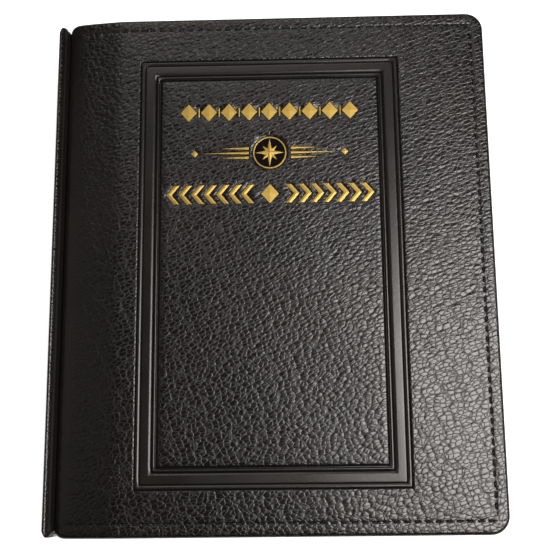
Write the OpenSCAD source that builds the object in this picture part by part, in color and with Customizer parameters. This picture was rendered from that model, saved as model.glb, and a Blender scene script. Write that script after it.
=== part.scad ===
// Leather seven-ring pilot's binder, closed and lying on its back cover.
// +Z is up, +Y is the head of the case, and the spine is on the -X side.
// The origin is under the middle of the closed case.

/* [Case] */
// Height of the case, head to tail
case_h = 235; // [231:1:245]
// Width of the closed case, spine to fore-edge
case_w = 198; // [196:1:206]
// Thickness of the closed case
case_t = 64; // [64:1:70]
// Thickness of a cover panel
cover_t = 4; // [3.6:0.1:4.4]
// Thickness of the leather
leather_t = 1.3; // [1:0.1:1.4]
// Thickness of the lining
lining_t = 0.8; // [0.6:0.1:1]
// Radius of the fore-edge corners
corner_r = 8; // [4:1:12]
// How far the front cover dips down to its hinge
cover_dip = 3.7; // [2.5:0.1:4]
// Width of the sloping part of the front cover
dip_w = 24; // [20:1:26]

/* [Decoration] */
// Width of the pressed frame on the front cover
frame_w = 118.6; // [100:0.2:124]
// Height of the pressed frame
frame_h = 194.7; // [170:0.1:200]
// Depth of the pressed lines
press_depth = 0.4; // [0.2:0.1:0.6]
// Radius of the compass rose
rose_r = 7.6; // [6:0.1:8]
// Length of one stitch
stitch_len = 2.3; // [2:0.1:3]
// Distance from one stitch to the next
stitch_pitch = 4.4; // [4:0.1:6]
// Distance from the edge to the stitching
stitch_inset = 5.7; // [5:0.1:6.5]

/* [Rings] */
// Radius of a ring, to the middle of its wire
ring_r = 22; // [21:0.25:22]
// Diameter of the ring wire
wire_d = 2.9; // [2.5:0.1:3.1]
// Distance between the five middle rings
ring_pitch = 34.925; // [34:0.025:36]
// Distance from the centre to the end rings
end_ring_y = 95.25; // [92:0.25:96]
// Distance from the spine lining to the ring centre
ring_standoff = 29.6; // [29.2:0.1:30]

/* [Leaves] */
// Width of a leaf
leaf_w = 139.7; // [136:0.1:141]
// Height of a leaf
leaf_h = 215.9; // [210:0.1:216]
// Thickness of the leaves that lie in the back cover
stack_t = 24; // [20:1:24]
// Number of index dividers among them
divider_count = 4; // [4:1:4]
// Thickness of a divider
divider_t = 0.5; // [0.4:0.1:0.6]
// Thickness of the leaves that turn with the front cover
front_stack_t = 5; // [3:1:5]
// Length of an index tab
tab_len = 42; // [30:1:48]

/* [Hidden] */
$fn = 96;
eps = 1;                              // how far a cutting solid runs past the face it cuts

// Case
case_x0 = -case_w / 2;
case_x1 = case_w / 2;
spine_t = cover_t + 0.4;
spine_in = case_x0 + spine_t;         // inner face of the spine
hinge_gap = 2.6;                      // from the spine's inner face to a cover's edge
panel_x0 = spine_in + hinge_gap;
hinge_inset = 5;                      // a hinge line's distance from both outer faces
hinge_x = case_x0 + hinge_inset;
hinge_r = 1.7;
spine_end = 3.7;                      // the spine stops this far inside both outer faces
spine_len = case_h - 1;
spine_round = 2;
inner_corner_r = 3;
turn_in = leather_t;                  // the leather wrapped round a board's edge

// Decoration
frame_y = -0.75;                      // the frame sits a little nearer the tail
frame_lines = [[0, 0.9], [2.3, 0.55], [7.3, 0.5], [9.4, 0.45]];  // inset and width of each line
stitch_w = 0.8;
track_w = 1.2;
thread_sink = 0.05;                   // the thread lies this far below the leather's surface
foil_t = 0.25;
foil_sink = 0.15;                     // the foil lies this far below the leather
upper_band_y = 71;
upper_lozenge = [7.4, 8.4];
upper_bar = [0.8, 4.4];
upper_step = 9.2;
rose_y = 51.3;
rose_line = 0.7;                      // width of the ring round the rose's star
lower_band_y = 32;
lower_lozenge = [8, 9];
lower_step = 5.6;
chevron_w = 2.4;
chevron_h = 8.8;
chevron_arm = 3.6;

// Rings, placed from the centre of the ring line
ring_x = spine_in + ring_standoff;
ring_z = case_t / 2;
wire_r = wire_d / 2;
ring_ys = [for (i = [-1, 1]) i * end_ring_y, for (i = [-2 : 2]) i * ring_pitch];
ring_sweep = 152;                     // angle at which a ring's arc meets its straight leg
tip_gap = 0.1;
plate_t = 1;
plate_h = 217;
arch_len = 203;
arch_w = 31.2;
arch_h = 9;
arch_crown = 4.2;
arch_wall = 0.8;
plate_top = plate_t - ring_standoff;
arch_top = plate_top + arch_h;
ring_hole_z = 10.6;
ring_hole_r = 2.3;
blade_x = -25.5;                      // the line that a blade turns about
blade_t = 1;
blade_w = 14.3;
blade_pivot_z = 14.5;
blade_tilt = 4;
blade_rivet_gap = 1.2;
leg_end = -26.9;                      // the tip of a ring's leg, under the blade
rivet_y = (end_ring_y + 2 * ring_pitch) / 2;
rivet_r = 3;
rivet_head_r = 4.5;
rivet_head_t = 1.2;
fit_gap = 0.05;
lever_x = -25.8;
lever_y = 105.5;
lever_w = 9;
pin_r = 1;
pin_clearance = 0.08;
pin_over = 0.5;                       // how far a pin stands out of its ears
ear_t = 1;
ear_z = 5.2;
ear_w = 4.8;
ear_over = 2.6;                       // how far an ear reaches past its pin

// Leaves, placed from the centre of the ring line
hole_edge = 9.5;                      // from a leaf's edge to the middle of its holes
slot_clearance = 0.4;
open_shift = 4.3;                     // how far an opening ring moves outwards
lay_gap = 0.3;
slope = 26;                           // fall of the lower leaves' margins
front_slope = 15;
stack_z0 = cover_t + lay_gap - ring_z;
pack_t = (stack_t - divider_count * divider_t) / divider_count;
front_z0 = stack_z0 + stack_t + lay_gap;
front_q0 = 10.4;                      // lower face of the front margins, square to them
front_q = front_q0 + front_stack_t / 2;
bend_gap = 0.6;
tab_out = 8.5;
fore_reach = leaf_w - hole_edge;

// ---- Helpers ----

// Extrudes an XZ outline along Y, centred on y = 0.
module along_y(length) {
    translate([0, length / 2, 0])
        rotate([90, 0, 0])
            linear_extrude(length)
                children();
}

// Places children at the centre of the ring line.
module at_rings() {
    translate([ring_x, 0, ring_z])
        children();
}

// A rectangle with its own corner radius at each side.
module rounded_panel(x0, x1, half_h, r0, r1) {
    translate([x0 + r0, -half_h])
        square([x1 - x0 - r0 - r1, 2 * half_h]);
    for (side = [[x0, r0, 0], [x1 - r1, r1, 1]]) {
        translate([side[0], side[1] - half_h])
            square([side[1], 2 * (half_h - side[1])]);
        for (y = [side[1] - half_h, half_h - side[1]])
            translate([side[0] + side[1] * (1 - side[2]), y])
                circle(side[1]);
    }
}

// ---- Cover panels ----

// The plan of a cover, set in from its edges.
module cover_plan(inset) {
    rounded_panel(panel_x0 + inset, case_x1 - inset, case_h / 2 - inset,
                  inner_corner_r - inset, corner_r - inset);
}

// One layer of a cover between two heights, dipping towards the hinge.
module cover_layer(low, high, inset, dip) {
    intersection() {
        along_y(case_h)
            polygon([
                [panel_x0, low - dip], [panel_x0 + dip_w, low], [case_x1, low],
                [case_x1, high], [panel_x0 + dip_w, high], [panel_x0, high - dip]
            ]);
        translate([0, 0, low - dip - eps])
            linear_extrude(high - low + dip + 2 * eps)
                cover_plan(inset);
    }
}

// The stitched line along head, fore-edge and tail.
module stitch_track() {
    x1 = case_x1 - stitch_inset;
    y1 = case_h / 2 - stitch_inset;
    for (y = [-y1, y1])
        translate([panel_x0 + turn_in, y - track_w / 2])
            square([x1 - panel_x0 - turn_in, track_w]);
    translate([x1 - track_w / 2, -y1 - track_w / 2])
        square([track_w, 2 * y1 + track_w]);
}

// Every stitch of that line.
module stitch_marks() {
    x1 = case_x1 - stitch_inset;
    y1 = case_h / 2 - stitch_inset;
    for (y = [-y1, y1], x = [x1 - stitch_pitch / 2 : -stitch_pitch : panel_x0 + 4])
        translate([x - stitch_len / 2, y - stitch_w / 2])
            square([stitch_len, stitch_w]);
    rows = floor((y1 - stitch_pitch / 2) / stitch_pitch);
    for (i = [-rows : rows])
        translate([x1 - stitch_w / 2, i * stitch_pitch - stitch_len / 2])
            square([stitch_w, stitch_len]);
}

// ---- Foil ornament ----

module lozenge(w, h) {
    polygon([[-w / 2, 0], [0, -h / 2], [w / 2, 0], [0, h / 2]]);
}

module upper_band_outline() {
    translate([0, upper_band_y]) {
        for (i = [-4 : 4])
            translate([i * upper_step, 0])
                lozenge(upper_lozenge[0], upper_lozenge[1]);
        for (i = [-4 : 3])
            translate([(i + 0.5) * upper_step, 0])
                square(upper_bar, center = true);
    }
}

// A star with four points.
module star(reach, waist) {
    polygon([
        for (i = [0 : 7])
            let (r = i % 2 == 0 ? reach : waist)
            [r * cos(45 * i), r * sin(45 * i)]
    ]);
}

// A compass rose with three tapered bars and a small lozenge on each side.
module rose_outline() {
    long_point = rose_r - 1.1;
    short_point = rose_r - 3;
    bar_x0 = 9.5;
    bar_x1 = 31;
    bar_gap = 2.2;
    bar_taper = 4;
    bar_w = 1.2;
    end_lozenge = 3.2;
    end_x = 34;
    translate([0, rose_y]) {
        difference() {
            circle(rose_r);
            circle(rose_r - rose_line);
        }
        star(long_point, 1.6);
        rotate(45)
            star(short_point, 1.3);
        for (side = [0, 180])
            rotate(side) {
                for (y = [-bar_gap, 0, bar_gap])
                    polygon([
                        [bar_x0, y - bar_w / 2],
                        [bar_x1 - abs(y) * bar_taper, y],
                        [bar_x0, y + bar_w / 2]
                    ]);
                translate([end_x, 0])
                    lozenge(end_lozenge, end_lozenge);
            }
    }
}

// A chevron whose open end is at x = 0 and which points along +X.
module chevron() {
    polygon([
        [0, -chevron_h / 2], [chevron_w, -chevron_h / 2], [chevron_w + chevron_arm, 0],
        [chevron_w, chevron_h / 2], [0, chevron_h / 2], [chevron_arm, 0]
    ]);
}

module lower_band_outline() {
    first_x = 7.1;
    translate([0, lower_band_y]) {
        lozenge(lower_lozenge[0], lower_lozenge[1]);
        for (side = [0, 1], i = [0 : 6])
            mirror([side, 0])
                translate([first_x + i * lower_step, 0])
                    chevron();
    }
}

// A pressed foil shape just below the surface of the front cover.
module foil() {
    translate([0, 0, case_t - foil_sink - foil_t])
        linear_extrude(foil_t)
            children();
}

// The recess that a foil shape is pressed into.
module foil_recess() {
    translate([0, 0, case_t - foil_sink - foil_t])
        linear_extrude(foil_sink + foil_t + eps)
            children();
}

// The straight lines pressed round the middle of the front cover.
module pressed_frame() {
    for (line = frame_lines)
        translate([0, frame_y, case_t - press_depth])
            linear_extrude(press_depth + eps)
                difference() {
                    square([frame_w - 2 * line[0], frame_h - 2 * line[0]], center = true);
                    square([frame_w - 2 * (line[0] + line[1]), frame_h - 2 * (line[0] + line[1])],
                           center = true);
                }
}

// ---- Front cover ----

module front_leather() {
    color("#241c1a")
        difference() {
            cover_layer(case_t - cover_t, case_t, 0, cover_dip);
            cover_layer(case_t - cover_t - eps, case_t - leather_t, turn_in, cover_dip);
            intersection() {
                cover_layer(case_t - press_depth, case_t + eps, turn_in, cover_dip);
                translate([0, 0, case_t - 2 * cover_t])
                    linear_extrude(3 * cover_t)
                        stitch_track();
            }
            pressed_frame();
            foil_recess()
                upper_band_outline();
            foil_recess()
                rose_outline();
            foil_recess()
                lower_band_outline();
        }
}

module front_board() {
    color("#8a7a62")
        cover_layer(case_t - cover_t + lining_t, case_t - leather_t, turn_in, cover_dip);
}

module front_lining() {
    color("#3a2f2b")
        cover_layer(case_t - cover_t, case_t - cover_t + lining_t, turn_in, cover_dip);
}

module front_stitching() {
    color("#15110f")
        intersection() {
            cover_layer(case_t - press_depth, case_t - thread_sink, turn_in, cover_dip);
            translate([0, 0, case_t - 2 * cover_t])
                linear_extrude(3 * cover_t)
                    stitch_marks();
        }
}

module compass_rose() {
    color("#c79f3a")
        foil()
            rose_outline();
}

module upper_foil_band() {
    color("#c79f3a")
        foil()
            upper_band_outline();
}

module lower_foil_band() {
    color("#c79f3a")
        foil()
            lower_band_outline();
}

// ---- Back cover ----

module back_leather() {
    color("#241c1a")
        difference() {
            cover_layer(0, cover_t, 0, 0);
            cover_layer(leather_t, cover_t + eps, turn_in, 0);
            translate([0, 0, -eps])
                linear_extrude(press_depth + eps)
                    stitch_track();
        }
}

module back_board() {
    color("#8a7a62")
        cover_layer(leather_t, cover_t - lining_t, turn_in, 0);
}

module back_lining() {
    color("#3a2f2b")
        cover_layer(cover_t - lining_t, cover_t, turn_in, 0);
}

module back_stitching() {
    color("#15110f")
        translate([0, 0, thread_sink])
            linear_extrude(press_depth - thread_sink)
                stitch_marks();
}

// ---- Spine ----

module spine_leather() {
    height = case_t - 2 * spine_end;
    color("#241c1a")
        difference() {
            along_y(spine_len)
                translate([case_x0, spine_end]) {
                    translate([spine_round, 0])
                        square([spine_t - spine_round, height]);
                    translate([0, spine_round])
                        square([spine_t, height - 2 * spine_round]);
                    for (z = [spine_round, height - spine_round])
                        translate([spine_round, z])
                            circle(spine_round);
                }
            spine_fill(case_x0 + leather_t, spine_in + eps);
        }
}

// The room inside the spine's turned-in leather.
module spine_fill(x0, x1) {
    translate([x0, -spine_len / 2 + turn_in, spine_end + turn_in])
        cube([x1 - x0, spine_len - 2 * turn_in, case_t - 2 * (spine_end + turn_in)]);
}

module spine_board() {
    color("#8a7a62")
        difference() {
            spine_fill(case_x0 + leather_t, spine_in - lining_t);
            rivet_holes();
        }
}

module spine_lining() {
    color("#3a2f2b")
        difference() {
            spine_fill(spine_in - lining_t, spine_in);
            rivet_holes();
        }
}

// The strip of leather that bends at a hinge line.
module hinge_bead(z) {
    color("#1d1614")
        intersection() {
            translate([hinge_x, 0, z])
                rotate([90, 0, 0])
                    cylinder(h = spine_len, r = hinge_r, center = true);
            translate([spine_in, -case_h, z - 2 * hinge_r])
                cube([2 * hinge_r + hinge_gap, 2 * case_h, 4 * hinge_r]);
        }
}

module front_hinge_leather() {
    hinge_bead(case_t - hinge_inset);
}

module back_hinge_leather() {
    hinge_bead(hinge_inset);
}

// ---- Ring mechanism ----

// Holes for the posts of the housing rivets.
module rivet_holes() {
    for (y = [-rivet_y, rivet_y])
        at_rings()
            translate([-ring_standoff - spine_t + leather_t, y, 0])
                rotate([0, 90, 0])
                    cylinder(h = ring_standoff, r = rivet_r + fit_gap);
}

module ring_base_plate() {
    color("#b8babd")
        difference() {
            union() {
                at_rings()
                    translate([-ring_standoff, -plate_h / 2, -arch_w / 2])
                        cube([plate_t, plate_h, arch_w]);
                for (side = [0, 1])
                    mirror([0, side, 0])
                        lever_ears();
            }
            rivet_holes();
            for (side = [-1, 1])
                at_rings()
                    translate([lever_x, side * lever_y, 0])
                        cylinder(h = arch_w, r = pin_r, center = true);
        }
}

// Two upright ears that hold a lever's pin.
module lever_ears() {
    for (z = [-ear_z - ear_t, ear_z])
        at_rings()
            translate([plate_top, lever_y - ear_w / 2, z])
                cube([lever_x - plate_top + ear_over, ear_w, ear_t]);
}

// The arched outline of the spring housing, from its foot on the base plate.
module arch_outline(width, height, crown) {
    arch_r = (width * width / 4 + crown * crown) / (2 * crown);
    translate([0, -width / 2])
        square([height - crown, width]);
    intersection() {
        translate([height - arch_r, 0])
            circle(arch_r);
        translate([height - crown, -width / 2])
            square([crown, width]);
    }
}

module spring_housing() {
    color("#d2d4d6")
        difference() {
            at_rings()
                translate([plate_top, 0, 0])
                    along_y(arch_len)
                        arch_outline(arch_w, arch_h, arch_crown);
            at_rings()
                translate([plate_top - eps, 0, 0])
                    along_y(arch_len + 2 * eps)
                        arch_outline(arch_w - 2 * arch_wall, arch_h - arch_wall + eps, arch_crown);
            for (y = ring_ys, side = [-1, 1])
                at_rings()
                    translate([plate_top + 1.5 * eps, y, side * ring_hole_z])
                        rotate([0, 90, 0])
                            cylinder(h = arch_h, r = ring_hole_r);
            for (y = [-rivet_y, rivet_y])
                at_rings()
                    translate([plate_top, y, 0])
                        rotate([0, 90, 0])
                            cylinder(h = arch_h + eps, r = rivet_r + fit_gap);
        }
}

module housing_rivets() {
    post_x0 = -ring_standoff - spine_t + leather_t;
    color("#c9cbcd")
        for (y = [-rivet_y, rivet_y])
            at_rings()
                translate([0, y, 0])
                    rotate([0, 90, 0])
                        union() {
                            translate([0, 0, post_x0])
                                cylinder(h = arch_top - post_x0, r = rivet_r);
                            translate([0, 0, arch_top])
                                cylinder(h = rivet_head_t, r = rivet_head_r);
                        }
}

module lever_pins() {
    color("#9a9c9f")
        for (side = [-1, 1])
            at_rings()
                translate([lever_x, side * lever_y, 0])
                    cylinder(h = 2 * (ear_z + ear_t + pin_over), r = pin_r, center = true);
}

// The spring blade that carries the upper halves of the rings.
module blade() {
    color("#aeb0b3")
        difference() {
            at_rings()
                translate([blade_x, 0, blade_pivot_z])
                    rotate([0, blade_tilt, 0])
                        translate([-blade_t / 2, -arch_len / 2, -blade_w])
                            cube([blade_t, arch_len, blade_w]);
            for (y = ring_ys)
                at_rings()
                    translate([leg_end - eps, y, leg_z()])
                        rotate([0, 90, 0])
                            cylinder(h = 3 * eps, r = wire_r + fit_gap);
            for (y = [-rivet_y, rivet_y])
                at_rings()
                    translate([plate_top, y, 0])
                        rotate([0, 90, 0])
                            cylinder(h = arch_h, r = rivet_r + blade_rivet_gap);
        }
}

// Height of a ring's leg above the ring line.
function leg_z() = ring_r * sin(ring_sweep);

// The upper half of one ring, with its leg down through the housing.
module ring_half(y) {
    color("#d9dadc")
        at_rings()
            translate([0, y, 0])
                union() {
                    rotate([90, 0, 0])
                        rotate([0, 0, tip_gap / ring_r * 180 / PI])
                            rotate_extrude(angle = ring_sweep - tip_gap / ring_r * 180 / PI)
                                translate([ring_r, 0])
                                    circle(wire_r, $fn = 48);
                    translate([ring_r * cos(ring_sweep), 0, leg_z()]) {
                        sphere(wire_r, $fn = 48);
                        rotate([0, -90, 0])
                            cylinder(h = ring_r * cos(ring_sweep) - leg_end, r = wire_r, $fn = 48);
                    }
                }
}

// Mirrors a solid to the other side of the ring line.
module below_rings() {
    translate([0, 0, ring_z])
        mirror([0, 0, 1])
            translate([0, 0, -ring_z])
                children();
}

module upper_ring(i) {
    ring_half(sorted_ring_y(i));
}

module lower_ring(i) {
    below_rings()
        ring_half(sorted_ring_y(i));
}

// The place of ring i, counted from the tail.
function sorted_ring_y(i) = i == 1 ? -end_ring_y : i == 7 ? end_ring_y : (i - 4) * ring_pitch;

module upper_blade() {
    blade();
}

module lower_blade() {
    below_rings()
        blade();
}

// The trigger at the head end: a hub, a foot under the blades and a thumb tab.
module lever() {
    hub_r = 2.1;
    arm_x = -0.7;
    arm_y = 5.7;
    arm_t = 2;
    thumb_len = 12.7;
    thumb_r = 1.5;
    foot_x = -2.6;
    foot_len = 5.4;
    foot_w = 3;
    foot_t = 1;
    color("#cfd1d3")
        at_rings()
            translate([lever_x, lever_y, -lever_w / 2])
                difference() {
                    union() {
                        linear_extrude(lever_w) {
                            circle(hub_r);
                            translate([arm_x, 0])
                                square([arm_t, arm_y]);
                            translate([arm_x, arm_y - arm_t])
                                square([thumb_len, arm_t]);
                            translate([arm_x + thumb_len, arm_y - arm_t / 2])
                                circle(thumb_r);
                        }
                        translate([foot_x, -foot_len, (lever_w - foot_w) / 2])
                            cube([foot_t, foot_len, foot_w]);
                        translate([foot_x, -foot_t, (lever_w - foot_w) / 2])
                            cube([hub_r, foot_t, foot_w]);
                    }
                    translate([0, 0, -eps])
                        cylinder(h = lever_w + 2 * eps, r = pin_r + pin_clearance);
                }
}

module head_lever() {
    lever();
}

module tail_lever() {
    mirror([0, 1, 0])
        lever();
}

// ---- Leaves ----

// The tunnels that the rings sweep through the leaves, round the ring line.
module ring_tunnels() {
    r0 = ring_r - wire_r - slot_clearance;
    r1 = ring_r + wire_r + slot_clearance + open_shift;
    end_r = wire_r + slot_clearance;
    for (y = ring_ys)
        at_rings()
            translate([0, y, 0])
                rotate([90, 0, 0])
                    rotate_extrude() {
                        translate([r0 + end_r, -end_r])
                            square([r1 - r0 - 2 * end_r, 2 * end_r]);
                        for (x = [r0 + end_r, r1 - end_r])
                            translate([x, 0])
                                circle(end_r, $fn = 48);
                    }
}

// A point s along and q above a margin that falls away from the ring line.
function margin_point(s, q, fall) = [s * cos(fall) + q * sin(fall), q * cos(fall) - s * sin(fall)];

// How far along the margin a leaf at height z meets the level part of the stack.
function bend_at(q, z, fall) = (q * cos(fall) - z) / sin(fall);

// How far along the margin the ring passes through a leaf.
function hole_at(q) = sqrt(ring_r * ring_r - q * q);

// The fore-edge of a leaf at height t in the stack.
function fore_edge(t) =
    let (q = t - stack_t / 2, s = bend_at(q, stack_z0 + t, slope))
    margin_point(s, q, slope)[0] + fore_reach - (s - hole_at(q));

// A slab of leaves between two heights in the stack.
module stack_slab(t0, t1, x1) {
    q0 = t0 - stack_t / 2;
    q1 = t1 - stack_t / 2;
    at_rings()
        along_y(leaf_h)
            polygon([
                margin_point(0, q0, slope),
                margin_point(bend_at(q0, stack_z0 + t0, slope), q0, slope),
                [x1, stack_z0 + t0],
                [x1, stack_z0 + t1],
                margin_point(bend_at(q1, stack_z0 + t1, slope), q1, slope),
                margin_point(0, q1, slope)
            ]);
}

// What is cut from every leaf in the stack: the ring tunnels and the curved inner edge.
module stack_cuts() {
    inner = margin_point(-hole_edge, 0, slope);
    ring_tunnels();
    at_rings()
        translate([inner[0], 0, inner[1]])
            rotate([90, 0, 0])
                cylinder(h = leaf_h + 2 * eps, r = ring_r, center = true);
}

// Height in the stack at which pack i starts, counted from the back cover.
function pack_start(i) = (i - 1) * (pack_t + divider_t);

module leaves(i) {
    t0 = pack_start(i);
    color("#ece7d8")
        difference() {
            stack_slab(t0, t0 + pack_t, fore_edge(t0 + pack_t / 2));
            stack_cuts();
        }
}

module divider(i) {
    t0 = pack_start(i) + pack_t;
    x1 = fore_edge(t0 + divider_t / 2);
    tab_y = (i - (divider_count + 1) / 2) * -(leaf_h / divider_count);
    color("#c9b58a")
        difference() {
            union() {
                stack_slab(t0, t0 + divider_t, x1);
                at_rings()
                    translate([x1 - eps, tab_y - tab_len / 2, stack_z0 + t0])
                        cube([tab_out + eps, tab_len, divider_t]);
            }
            stack_cuts();
        }
}

// The margins of the leaves that turn with the front cover.
module front_margins() {
    s0 = hole_at(front_q) - hole_edge;
    s1 = front_bend() - bend_gap;
    q1 = front_q0 + front_stack_t;
    color("#f1ecdf")
        difference() {
            at_rings()
                along_y(leaf_h)
                    polygon([
                        margin_point(s0, front_q0, front_slope),
                        margin_point(s1, front_q0, front_slope),
                        margin_point(s1, q1, front_slope),
                        margin_point(s0, q1, front_slope)
                    ]);
            ring_tunnels();
        }
}

// How far along their margins the front leaves bend level.
function front_bend() = bend_at(front_q, front_z0 + front_stack_t / 2, front_slope);

module front_leaves() {
    bend_x = margin_point(front_bend(), front_q, front_slope)[0];
    x1 = bend_x + fore_reach - (front_bend() - hole_at(front_q));
    color("#f1ecdf")
        at_rings()
            translate([bend_x + bend_gap, -leaf_h / 2, front_z0])
                cube([x1 - bend_x - bend_gap, leaf_h, front_stack_t]);
}

// ---- Assembly ----

back_leather();
back_board();
back_lining();
back_stitching();
spine_leather();
spine_board();
spine_lining();
front_hinge_leather();
back_hinge_leather();
front_leather();
front_board();
front_lining();
front_stitching();
compass_rose();
upper_foil_band();
lower_foil_band();
ring_base_plate();
spring_housing();
housing_rivets();
lever_pins();
upper_blade();
lower_blade();
head_lever();
tail_lever();
upper_ring(1);  // upper_ring_1
upper_ring(2);  // upper_ring_2
upper_ring(3);  // upper_ring_3
upper_ring(4);  // upper_ring_4
upper_ring(5);  // upper_ring_5
upper_ring(6);  // upper_ring_6
upper_ring(7);  // upper_ring_7
lower_ring(1);  // lower_ring_1
lower_ring(2);  // lower_ring_2
lower_ring(3);  // lower_ring_3
lower_ring(4);  // lower_ring_4
lower_ring(5);  // lower_ring_5
lower_ring(6);  // lower_ring_6
lower_ring(7);  // lower_ring_7
leaves(1);  // leaves_1
leaves(2);  // leaves_2
leaves(3);  // leaves_3
leaves(4);  // leaves_4
divider(1);  // divider_1
divider(2);  // divider_2
divider(3);  // divider_3
divider(4);  // divider_4
front_margins();
front_leaves();
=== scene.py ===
"""How the pilot's ring binder looks: leather, foil, thread, paper and metal round its CAD frame.

Lengths are in millimetres until a mesh is made. Each cover's leather is laid out on a flat sheet
with coordinates (u, y) and then wrapped over the cover, into the hinge and round the spine.
"""
import math
import random

import bpy
import numpy as np
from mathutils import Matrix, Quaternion, Vector
from mathutils.geometry import delaunay_2d_cdt


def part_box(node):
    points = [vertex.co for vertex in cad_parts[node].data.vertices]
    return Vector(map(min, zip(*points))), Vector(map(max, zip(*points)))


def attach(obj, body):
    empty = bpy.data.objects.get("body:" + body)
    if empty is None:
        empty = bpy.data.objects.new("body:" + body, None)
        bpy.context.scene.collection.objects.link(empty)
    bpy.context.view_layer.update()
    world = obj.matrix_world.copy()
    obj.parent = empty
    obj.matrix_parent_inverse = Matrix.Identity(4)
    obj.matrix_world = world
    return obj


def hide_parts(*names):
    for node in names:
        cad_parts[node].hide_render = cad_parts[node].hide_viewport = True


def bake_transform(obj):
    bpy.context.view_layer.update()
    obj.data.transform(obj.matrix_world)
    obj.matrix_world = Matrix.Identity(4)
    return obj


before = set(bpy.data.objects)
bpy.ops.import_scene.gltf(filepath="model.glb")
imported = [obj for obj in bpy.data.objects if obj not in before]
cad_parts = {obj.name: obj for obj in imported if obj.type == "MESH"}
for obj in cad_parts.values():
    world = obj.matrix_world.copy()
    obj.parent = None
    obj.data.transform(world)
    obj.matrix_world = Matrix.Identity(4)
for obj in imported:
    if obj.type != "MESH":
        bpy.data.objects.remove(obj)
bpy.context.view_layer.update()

MM = 0.001
random.seed(11)


def size_of(node):
    """The lowest and highest corner of a CAD node, in millimetres."""
    low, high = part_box(node)
    return np.array(low) / MM, np.array(high) / MM


# ---- Sizes ----

FRONT_LOW, FRONT_HIGH = size_of("front_leather")
SPINE_LOW, SPINE_HIGH = size_of("spine_leather")
TOP = FRONT_HIGH[2]
HALF_H = FRONT_HIGH[1]
X0, X1 = FRONT_LOW[0], FRONT_HIGH[0]
COVER_T = size_of("back_leather")[1][2]
SPINE_X = SPINE_LOW[0]
SPINE_IN = SPINE_HIGH[0]
SPINE_HALF_H = SPINE_HIGH[1]
HINGE_X = X0 - 2

CORNER_R = 8
INNER_CORNER_R = 3
CORNER_IN_W = 5
DIP = 3.7
DIP_W = 24
LEATHER_T = 1.2
TURN_IN = 1.5
LINING_T = 0.8
LINING_INSET = 1.3
SEAM_Z = 8

STITCH_INSET = 5.7
STITCH_PITCH = 4.4
STITCH_LEN = 2.1
THREAD_R = 0.36

FRAME_W, FRAME_H, FRAME_Y = 118.6, 194.7, -0.75
# Height of the pressed frame at each distance in from its outer edge.
FRAME_PROFILE = [
    (-0.9, 0), (-0.15, 0), (0.04, -0.1), (0.16, -0.42), (0.46, -0.42), (0.62, -0.16), (0.8, -0.04),
    (1.2, -0.02), (2.1, -0.08), (2.35, -0.4), (2.6, -0.4), (2.78, -0.12), (2.95, -0.075), (3.3, -0.07),
    (5.9, -0.01), (6.2, -0.02), (6.5, -0.08), (7.2, -0.25), (7.35, -0.45), (7.75, -0.45), (7.9, -0.12),
    (8.1, 0.0), (8.55, 0.03), (8.8, -0.06), (9.0, -0.28), (9.2, -0.08), (9.4, -0.1), (9.55, -0.45),
    (9.95, -0.45), (10.15, -0.08), (10.5, 0)
]
FRAME_IN = FRAME_PROFILE[-1][0]

UPPER_BAND_Y, ROSE_Y, LOWER_BAND_Y = 71, 51.3, 32
UPPER_STEP, UPPER_W, UPPER_H = 9.2, 7.4, 8.4
BAR_HALF_W, BAR_HALF_H = 0.4, 2.2
CHEVRON_STEP, CHEVRON_HALF_H = 5.6, 4.4
ROSE_R = 7.6
TRENCH_W = 0.45
TRENCH = -0.3

RING = np.array([-65.0, 32.0])
RING_R, WIRE_R = 22, 1.45
RING_YS = [-95.25, 95.25] + [i * 34.925 for i in (-2, -1, 0, 1, 2)]
LEAF_W, LEAF_HALF_H, HOLE_EDGE = 139.7, 107.95, 9.5
STACK_T, PACK_T, DIVIDER_T = 24, 5.5, 0.5
TAB_HALF_W, TAB_OUT = 21, 8.5
TAB_CORNER_R = 3.0
TAB_PAINT_FROM = 0.9                    # a tab's colour starts this far past the leaves
SLOT_ARC = 9                            # points on the round of each end of a slot
LEAF_ROW = 12                           # the spacing of a leaf's points along the binder
BEND_REACH = 8                          # a leaf's points are closer this near to its bend
LEAF_GROOVE = 0.22                      # how far the gaps between leaves go in
SLOPE, FRONT_SLOPE = math.radians(26), math.radians(15)


# ---- Mesh tools ----

def make(name, verts, faces, materials, smooth=True, attributes=None, sharp=40, slots=None):
    """An object from vertices in millimetres, with vector attributes given by name."""
    mesh = bpy.data.meshes.new(name)
    mesh.from_pydata((np.asarray(verts, float) * MM).tolist(), [], [list(map(int, f)) for f in faces])
    for key, values in (attributes or {}).items():
        layer = mesh.attributes.new(key, "FLOAT_VECTOR", "POINT")
        layer.data.foreach_set("vector", np.asarray(values, np.float32).ravel())
    for material in materials:
        mesh.materials.append(material)
    if slots is not None:
        mesh.polygons.foreach_set("material_index", np.asarray(slots, np.int32))
    mesh.update()
    if smooth:
        mesh.shade_smooth()
        mesh.set_sharp_from_angle(angle=math.radians(sharp))
    obj = bpy.data.objects.new(name, mesh)
    bpy.context.scene.collection.objects.link(obj)
    return obj


def triangulate(points, edges, keep):
    """Triangles that hold every given edge, where keep says so of their middles.

    Returns the points, which may be more than were given, the triangles, and each given point's place.
    """
    flat = [Vector(map(float, p)) for p in points]
    made, _, faces, sources, _, _ = delaunay_2d_cdt(flat, edges, [], 0, 1e-4, True)
    made = np.array([tuple(p) for p in made])
    faces = np.array(faces)
    faces = faces[keep(made[faces].mean(axis=1))]
    where = np.full(len(points), -1)
    for i, given in enumerate(sources):
        where[given] = i
    return made, faces, where


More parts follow.
